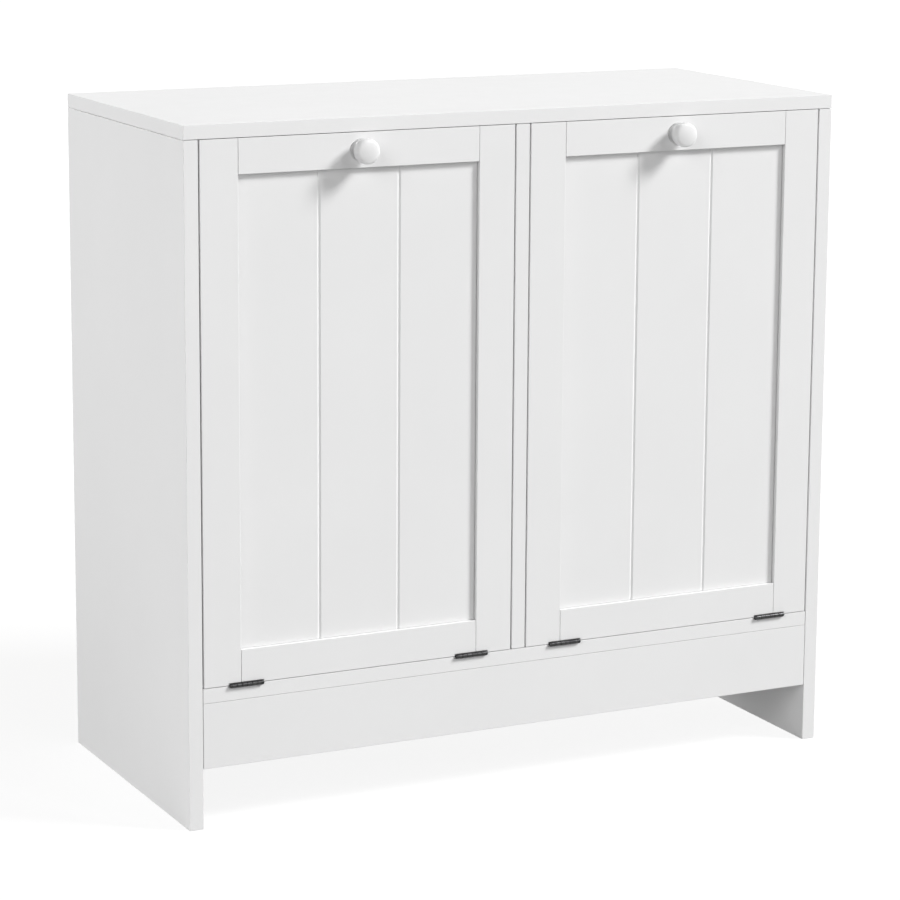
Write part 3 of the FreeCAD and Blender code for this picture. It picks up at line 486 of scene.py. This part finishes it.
def wall_rows(rim, hand):
    """Walls from the wire down to the bottom edge, as distance down t from 0 to 1.

    The rounded rectangle narrows evenly with t. Its runs bow inwards by a power of the sine of half a turn
    times t, most at their middles, and swell out again in a bell curve just above the bottom. Slanting sine
    waves round the rim, growing with t, make the soft upright folds of hanging cloth. The second bag's waves
    are shifted."""
    down = np.linspace(0, 1, WALL_ROWS)[:, None]
    middle = 1 - np.minimum(rim.sign_x ** 2, rim.sign_y ** 2)
    turn = 2 * np.pi * rim.along / rim.whole
    loose = soft_rise(down, FOLDS_START, FOLDS_FULL) * (1 - FOOT_HOLD * soft_rise(down, FOOT_START, 1.0))
    folds = 0.0
    for fold in WALL_FOLDS:
        phase = fold.waves * turn + fold.slant * down + fold.start + fold.other_bag * hand
        folds = folds + fold.depth * np.sin(phase)
    bow = -WALL_BOW * np.sin(np.pi * down) ** BOW_POWER
    swell = FOOT_SWELL * np.exp(-((down - SWELL_LEVEL) / SWELL_SPAN) ** 2)
    out = loose * folds * (CORNER_FOLDS + (1 - CORNER_FOLDS) * middle) + (bow + swell) * middle
    narrowing = FOLD_RADIUS + TAPER * down
    x, y = rounded(rim, WIRE_HALF_X - narrowing, BAG_HALF_Y - narrowing)
    z = WIRE_LEVEL + (BAG_FLOOR + FLOOR_ROUND - WIRE_LEVEL) * down + np.zeros_like(x)
    return np.stack([x + out * np.cos(rim.angle), y + out * np.sin(rim.angle), z], axis=-1)


def floor_rows(last_wall):
    """The bottom: a quarter round in from the walls' last row, then shrinking rings.

    The rings dip to the middle in a parabola."""
    bend = np.linspace(0, np.pi / 2, FLOOR_EDGE_ROWS + 1)[1:, None]
    shrink = 1 - FLOOR_ROUND * (1 - np.cos(bend)) / BAG_HALF_Y
    ring = np.linspace(1, 0, FLOOR_RINGS + 1)[1:-1, None]
    scale = np.concatenate([shrink, ring * shrink[-1]])
    drop = np.concatenate([FLOOR_ROUND * np.sin(bend), FLOOR_ROUND + FLOOR_SAG * (1 - ring ** 2)])
    flat = last_wall[None, :, :2] * scale[:, :, None]
    z = last_wall[None, :, 2] - drop
    return np.concatenate([flat, z[:, :, None]], axis=-1)


def flap_reach(rim, z):
    """How far the hanging flap stands off the wire's middle line at a height.

    It grows with a power of the drop below the wire, and a sine round the rim makes it wavy."""
    drop = np.clip((WIRE_LEVEL - z) / (WIRE_LEVEL - FLAP_HEM), 0, 1)
    wave = np.sin(2 * np.pi * FLAP_WAVES * rim.along / rim.whole + WAVE_START)
    return FOLD_RADIUS + FLAP_FLARE * drop ** FLARE_POWER * (1 - WAVE_SHARE + WAVE_SHARE * wave)


def flap_rows(rim):
    """The flap, from its turned-up hem inside, round the hem, up outside and over the wire.

    Each row is a distance from the wire's middle line, square to the rim, and a height: the hem is a half
    round, the outside follows flap_reach, and the top is a half round about the wire."""
    flat = np.zeros_like(rim.along)
    inside_z = np.linspace(FLAP_HEM + HEM_HEIGHT, FLAP_HEM + 2 * HEM_TURN, HEM_INSIDE_ROWS)[:, None]
    inside = flap_reach(rim, inside_z) - 2 * HEM_TURN
    turn = np.linspace(np.pi, 0, HEM_ROUND_ROWS)[:, None]
    hem = flap_reach(rim, FLAP_HEM) - HEM_TURN + HEM_TURN * np.cos(turn)
    hem_z = FLAP_HEM + HEM_TURN - HEM_TURN * np.sin(turn)
    outside_z = np.linspace(FLAP_HEM + 3 * HEM_TURN, WIRE_LEVEL, FLAP_ROWS)[:-1, None]
    outside = flap_reach(rim, outside_z)
    over = np.linspace(0, np.pi, FOLD_ROWS)[:-1, None]
    top = FOLD_RADIUS * np.cos(over) + flat
    top_z = WIRE_LEVEL + FOLD_RADIUS * np.sin(over)
    reach = np.concatenate([inside, hem, outside, top])
    z = np.concatenate([inside_z, hem_z, outside_z, top_z])
    return off_rim(rim, reach, z)


def lengths_down(points):
    """Length along the cloth from the first row to each row, taken on the first column."""
    steps = np.linalg.norm(np.diff(points[:, 0], axis=0), axis=-1)
    return np.concatenate([[0.0], np.cumsum(steps)])


def bag_shell(rim, wall):
    """The whole bag as one grid, rows down the cloth and columns round it, closed by a point at the bottom.

    Flap faces are left out at the corners. Gives points, faces and each face corner's place on the cloth."""
    flap = flap_rows(rim)
    grid = np.concatenate([flap, wall, floor_rows(wall[-1])])
    rows, count = grid.shape[:2]
    flapped = on_flap(rim)
    keep = (np.arange(rows - 1)[:, None] >= len(flap)) | (flapped & np.roll(flapped, -1))
    quads = ring_quads(rows, count)[keep]
    row, column = np.nonzero(keep)
    starts, ends = rim.along, np.append(rim.along[1:], rim.whole)
    down = lengths_down(grid)
    quad_u = np.stack([starts[column], starts[column], ends[column], ends[column]], axis=-1)
    quad_v = np.stack([down[row], down[row + 1], down[row + 1], down[row]], axis=-1)
    centre = grid[-1].mean(axis=0) - [0, 0, FLOOR_TIP]
    last = (rows - 1) * count + np.arange(count)
    fan = np.stack([last, np.full(count, rows * count), np.roll(last, -1)], axis=-1)
    tip = down[-1] + np.linalg.norm(grid[-1, 0] - centre)
    fan_u = np.stack([starts, (starts + ends) / 2, ends], axis=-1)
    fan_v = np.tile([down[-1], tip, down[-1]], (count, 1))
    uv = np.concatenate([np.stack([quad_u.ravel(), quad_v.ravel()], axis=-1),
                         np.stack([fan_u.ravel(), fan_v.ravel()], axis=-1)])
    return np.vstack([grid.reshape(-1, 3), centre]), quads.tolist() + fan.tolist(), uv


def welt(path, outward, side, closed=True):
    """A sewn welt: a circle in the outward and sideways directions, carried along the path.

    Where the path isn't closed, the ends are flat."""
    turn = np.linspace(0, 2 * np.pi, WELT_SIDES, endpoint=False)[None, :, None]
    points = path[:, None] + WELT_RADIUS * (np.cos(turn) * outward[:, None] + np.sin(turn) * side[:, None])
    faces = ring_quads(len(path), WELT_SIDES, wrap=closed).reshape(-1, 4)
    if not closed:
        last = (len(path) - 1) * WELT_SIDES
        faces = np.vstack([faces, WELT_END, WELT_END[:, ::-1] + last])
    return points.reshape(-1, 3), faces


def bag_welts(rim, wall):
    """A welt round the bottom of the walls, and one up each corner."""
    out, along, up = rim_directions(rim)
    welts = [welt(wall[-1] + WELT_PROUD * out, out, up)]
    for corner in np.radians([45, 135, 225, 315]):
        column = np.argmin(np.abs(rim.angle - corner))
        outward = np.tile(out[column], (WALL_ROWS, 1))
        side = np.tile(along[column], (WALL_ROWS, 1))
        welts.append(welt(wall[:, column] + WELT_PROUD * outward, outward, side, closed=False))
    return welts


def stitches(middle, along, up, out):
    """Stitches as low closed humps, one at each middle point.

    Across it a stitch is a half ellipse, flat below. Its width and height follow the square root of one less
    a share of the fourth power of the distance from its middle, which leaves blunt ends."""
    span = np.linspace(-1, 1, STITCH_ROWS)[:, None]
    across = np.linspace(0, np.pi, STITCH_SIDES)[None, :]
    swell = np.sqrt(1 - STITCH_TAPER * span ** 4)
    lengthwise = (STITCH_LENGTH / 2 * span + 0 * across).ravel()
    sideways = (STITCH_WIDTH / 2 * swell * np.cos(across)).ravel()
    height = (STITCH_HEIGHT * swell * np.sin(across)).ravel()
    points = (middle[:, None] + lengthwise[None, :, None] * along[:, None]
              + sideways[None, :, None] * up[:, None] + height[None, :, None] * out[:, None])
    quads = ring_quads(STITCH_ROWS, STITCH_SIDES).reshape(-1, 4)
    turned_over = quads[:, [0, 3, 2, 1]]
    last = (STITCH_ROWS - 1) * STITCH_SIDES
    faces = np.vstack([turned_over, STITCH_END[:, ::-1], STITCH_END + last])
    starts = np.arange(len(middle)) * STITCH_ROWS * STITCH_SIDES
    return points.reshape(-1, 3), (starts[:, None, None] + faces).reshape(-1, 4)


def stitch_line(rim, z):
    """A line of stitches along every flap at one height, on the flap's outer face."""
    places = np.arange(STITCH_PITCH / 2, rim.whole, STITCH_PITCH)
    marks = np.append(rim.along, rim.whole)
    ends = (1, 1, 2 * np.pi)
    line = Rim(places, *[np.interp(places, marks, np.append(values, end))
                         for values, end in zip((rim.sign_x, rim.sign_y, rim.angle), ends)], rim.whole)
    sewn = on_flap(line)
    line = Rim(*[values[sewn] for values in line[:-1]], rim.whole)
    middle = off_rim(line, flap_reach(line, z) + CLOTH / 2, z)
    out, along, up = rim_directions(line)
    return stitches(middle, along, up, out)


def cloth_bag(door, hand, finishes, thread):
    """One laundry bag: the shell, a welt round its bottom and up its corners, and stitches on its flaps."""
    low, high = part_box(door + "_laundry_bag")
    place = np.array([(low.x + high.x) / 2, BAG_MIDDLE_Y, 0.0])
    rim = rim_columns()
    wall = wall_rows(rim, hand)
    points, faces, uv = bag_shell(rim, wall)
    bag = mesh_piece(door + "_cloth_bag", points + place, faces, finishes["canvas"], door, "canvas", uv)
    thick = bag.modifiers.new("cloth", "SOLIDIFY")
    thick.thickness = CLOTH
    thick.offset = 0
    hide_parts(door + "_laundry_bag")
    mesh_piece(door + "_bag_welts", *joined(bag_welts(rim, wall), place), thread, door, "canvas")
    lines = [stitch_line(rim, HEM_SEAM), stitch_line(rim, WIRE_SEAM)]
    mesh_piece(door + "_bag_stitches", *joined(lines, place), thread, door, "canvas")


# Knobs

# Radii: the widest one, the edge of the face, the neck, the base and the screw hole
KNOB_RADIUS = 14.35 * mm
KNOB_CAP = 11.4 * mm
KNOB_NECK = 9.2 * mm
KNOB_BASE = 13.0 * mm
KNOB_BORE = 2.05 * mm

# How far the face falls from its middle to its edge
KNOB_SAG = 1.2 * mm

# Heights from the door: the middle of the face, both ends of the straight side, the end of the back, the
# start of the flare, the edge of the base and the end of the hole
KNOB_LENGTH = 24 * mm
KNOB_SIDE = 17.7 * mm
KNOB_WIDEST = 15.0 * mm
KNOB_BACK = 6.5 * mm
KNOB_FLARE = 3.5 * mm
KNOB_BASE_RISE = 1.2 * mm
KNOB_BORE_DEPTH = 11.4 * mm

# Angles: where on its ellipse the rim starts, and from where on an edge is sharp
KNOB_RIM_START = math.radians(8)
KNOB_CREASE = math.radians(35)
CAP_STEPS, RIM_STEPS, BEND_STEPS = 14, 18, 14
KNOB_SIDES = 72


def knob_profile():
    """Half a knob, from the middle of its face round to the end of its screw hole, as radius and height.

    The face is a shallow parabola. Most of a quarter ellipse rounds it over to a short straight side, and
    another quarter ellipse makes the back. A straight neck flares out in a hollow quarter ellipse to the edge
    of the base, and the hole for the screw is straight."""
    cap = np.linspace(0, KNOB_CAP, CAP_STEPS)
    rim = np.linspace(KNOB_RIM_START, np.pi / 2, RIM_STEPS)[1:]
    start_across, start_up = math.sin(KNOB_RIM_START), math.cos(KNOB_RIM_START)
    inner = (KNOB_CAP - KNOB_RADIUS * start_across) / (1 - start_across)
    rise = (KNOB_LENGTH - KNOB_SAG - KNOB_SIDE) / start_up
    bend = np.linspace(0, np.pi / 2, BEND_STEPS)
    radius = np.concatenate([
        cap,
        inner + (KNOB_RADIUS - inner) * np.sin(rim),
        KNOB_NECK + (KNOB_RADIUS - KNOB_NECK) * np.cos(bend),
        KNOB_BASE - (KNOB_BASE - KNOB_NECK) * np.cos(bend),
        [KNOB_BASE, KNOB_BORE, KNOB_BORE, 0.0],
    ])
    height = np.concatenate([
        KNOB_LENGTH - KNOB_SAG * (cap / KNOB_CAP) ** 2,
        KNOB_SIDE + rise * np.cos(rim),
        KNOB_WIDEST - (KNOB_WIDEST - KNOB_BACK) * np.sin(bend),
        KNOB_FLARE - (KNOB_FLARE - KNOB_BASE_RISE) * np.sin(bend),
        [0.0, 0.0, KNOB_BORE_DEPTH, KNOB_BORE_DEPTH],
    ])
    return radius, height


def turned_knob(door, finishes):
    """A knob: its profile carried round an axis that points out of the door.

    A point closes each end, in the middle of the face and at the end of the hole."""
    low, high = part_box(door + "_knob")
    place = np.array([(low.x + high.x) / 2, high.y, (low.z + high.z) / 2])
    radius, height = knob_profile()
    turn = np.linspace(0, 2 * np.pi, KNOB_SIDES, endpoint=False)
    x = radius[1:-1, None] * np.cos(turn)
    z = radius[1:-1, None] * np.sin(turn)
    rings = np.stack([x, -height[1:-1, None] + np.zeros_like(x), z], axis=-1)
    ends = np.array([[0.0, -height[0], 0.0], [0.0, -height[-1], 0.0]])
    points = np.vstack([rings.reshape(-1, 3), ends]) + place
    face_end, hole_end = len(points) - 2, len(points) - 1
    quads = ring_quads(len(rings), KNOB_SIDES).reshape(-1, 4)
    first = np.arange(KNOB_SIDES)
    last = (len(rings) - 1) * KNOB_SIDES + first
    face_fan = np.stack([np.full(KNOB_SIDES, face_end), first, np.roll(first, -1)], axis=-1)
    hole_fan = np.stack([np.full(KNOB_SIDES, hole_end), np.roll(last, -1), last], axis=-1)
    faces = quads.tolist() + face_fan.tolist() + hole_fan.tolist()
    knob = mesh_piece(door + "_turned_knob", points, faces, finishes["knob_lacquer"], door, "knob_lacquer")
    knob.data.set_sharp_from_angle(angle=KNOB_CREASE)
    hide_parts(door + "_knob")


# Stage, lights and camera

AMBIENT = 0.02
WHITE = grey(1)
FLOOR_REACH = 30.0
FLOOR_GLOW_NEAR, FLOOR_GLOW_FAR = 0.88, 1.0
FLOOR_NEAR, FLOOR_FAR = 0.8, 2.4
FLOOR_TONE = grey(0.45)
FLOOR_SHADE_TONE = grey(0.16)
CABINET_MIDDLE = Vector((0.0, -0.1, 0.42))

# Turn and rise are degrees round the cabinet's middle, to the right of its front and upwards
Lamp = namedtuple("Lamp", "name turn rise away width height power")
LAMPS = (
    Lamp("key_lamp", turn=57, rise=39, away=18.0, width=4.5, height=4.5, power=3600.0),
    Lamp("fill_lamp", turn=-52, rise=26, away=14.0, width=7.0, height=7.0, power=590.0),
    Lamp("glint_lamp", turn=26, rise=30, away=16.0, width=1.8, height=7.2, power=290.0),
    Lamp("left_lamp", turn=-112, rise=10, away=14.0, width=6.2, height=6.2, power=900.0),
    Lamp("rear_lamp", turn=-170, rise=22, away=9.0, width=4.0, height=4.0, power=120.0),
)

EYE = (-1.69064, -3.39809, 1.18963)
YAW, PITCH, ROLL = (math.radians(turn) for turn in (26.3731, 10.9110, 0.3484))
SENSOR = 36.0
LENS = 128.132
SHIFT_DOWN = -0.08
CLIP_FAR = 100.0


def seen_rays(tree):
    """1 for rays that show the background: straight from the camera, mirrored, or through glass."""
    path = step(tree, "LightPath").outputs
    mirrored = math_step(tree, "MAXIMUM", path["Is Camera Ray"], path["Is Glossy Ray"])
    return math_step(tree, "MAXIMUM", mirrored, path["Is Transmission Ray"])


def studio_world():
    """White where it is seen, and an even soft light elsewhere."""
    world = bpy.data.worlds.new("white_studio")
    world.use_nodes = True
    tree = world.node_tree
    tree.nodes.clear()
    soft = step(tree, "Background", {"Color": WHITE, "Strength": AMBIENT})
    white = step(tree, "Background", {"Color": WHITE, "Strength": 1.0})
    mixed = step(tree, "MixShader", {0: seen_rays(tree), 1: soft.outputs[0], 2: white.outputs[0]})
    step(tree, "OutputWorld", {"Surface": mixed.outputs[0]})
    bpy.context.scene.world = world


def floor_finish():
    """Grey to the light that it sends back. Where it is seen, a white glow with the cabinet's soft shadow."""
    material = bpy.data.materials.new("white_floor")
    material.use_nodes = True
    tree = material.node_tree
    tree.nodes.clear()
    pale = step(tree, "BsdfDiffuse", {"Color": FLOOR_TONE})
    shade = step(tree, "BsdfDiffuse", {"Color": FLOOR_SHADE_TONE})
    away = step(tree, "VectorMath", {0: object_point(tree)}, operation="LENGTH").outputs["Value"]
    strength = spread(tree, away, FLOOR_GLOW_NEAR, FLOOR_GLOW_FAR, FLOOR_NEAR, FLOOR_FAR)
    glow = step(tree, "Emission", {"Color": WHITE, "Strength": strength})
    seen = step(tree, "AddShader", {0: shade.outputs[0], 1: glow.outputs[0]})
    mixed = step(tree, "MixShader", {0: seen_rays(tree), 1: pale.outputs[0], 2: seen.outputs[0]})
    step(tree, "OutputMaterial", {"Surface": mixed.outputs[0]})
    return material


def studio_floor():
    """A wide flat floor under the cabinet."""
    corners = [(x * FLOOR_REACH, y * FLOOR_REACH, 0) for x, y in ((-1, -1), (1, -1), (1, 1), (-1, 1))]
    mesh = bpy.data.meshes.new("studio_floor")
    mesh.from_pydata(corners, [], [(0, 1, 2, 3)])
    mesh.materials.append(floor_finish())
    floor = bpy.data.objects.new("studio_floor", mesh)
    bpy.context.collection.objects.link(floor)


def lamp_place(lamp):
    """The lamp's place: its distance from the cabinet's middle, turned and raised."""
    turn, rise = math.radians(lamp.turn), math.radians(lamp.rise)
    level = lamp.away * math.cos(rise)
    away = Vector((level * math.sin(turn), -level * math.cos(turn), lamp.away * math.sin(rise)))
    return CABINET_MIDDLE + away


def studio_lights():
    """Soft rectangular lamps, each turned to the cabinet's middle."""
    for lamp in LAMPS:
        data = bpy.data.lights.new(lamp.name, "AREA")
        data.shape = "RECTANGLE"
        data.size, data.size_y = lamp.width, lamp.height
        data.energy = lamp.power
        stand = bpy.data.objects.new(lamp.name, data)
        place = lamp_place(lamp)
        stand.location = place
        stand.rotation_euler = (CABINET_MIDDLE - place).to_track_quat("-Z", "Y").to_euler()
        bpy.context.collection.objects.link(stand)


def photo_camera():
    """The photograph's viewing angle, fitted to the cabinet's straight edges."""
    forward = Vector((math.sin(YAW) * math.cos(PITCH), math.cos(YAW) * math.cos(PITCH), -math.sin(PITCH)))
    level = Vector((math.cos(YAW), -math.sin(YAW), 0.0))
    upright = level.cross(forward)
    right = level * math.cos(ROLL) + upright * math.sin(ROLL)
    up = upright * math.cos(ROLL) - level * math.sin(ROLL)
    data = bpy.data.cameras.new("photo_camera")
    data.sensor_width = SENSOR
    data.lens = LENS
    data.shift_y = SHIFT_DOWN
    data.clip_end = CLIP_FAR
    camera = bpy.data.objects.new("photo_camera", data)
    turned = Matrix((right, up, -forward)).transposed().to_4x4()
    camera.matrix_world = Matrix.Translation(EYE) @ turned
    bpy.context.collection.objects.link(camera)
    bpy.context.scene.camera = camera


def build():
    """Dresses the cabinet, makes its bags and knobs, and sets the stage."""
    bpy.context.scene.view_settings.view_transform = "Standard"
    finishes = dress_cad_nodes()
    thread = sewing_thread()
    for hand, door in enumerate(("left_door", "right_door")):
        cloth_bag(door, hand, finishes, thread)
        turned_knob(door, finishes)
    studio_world()
    studio_floor()
    studio_lights()
    photo_camera()


build()
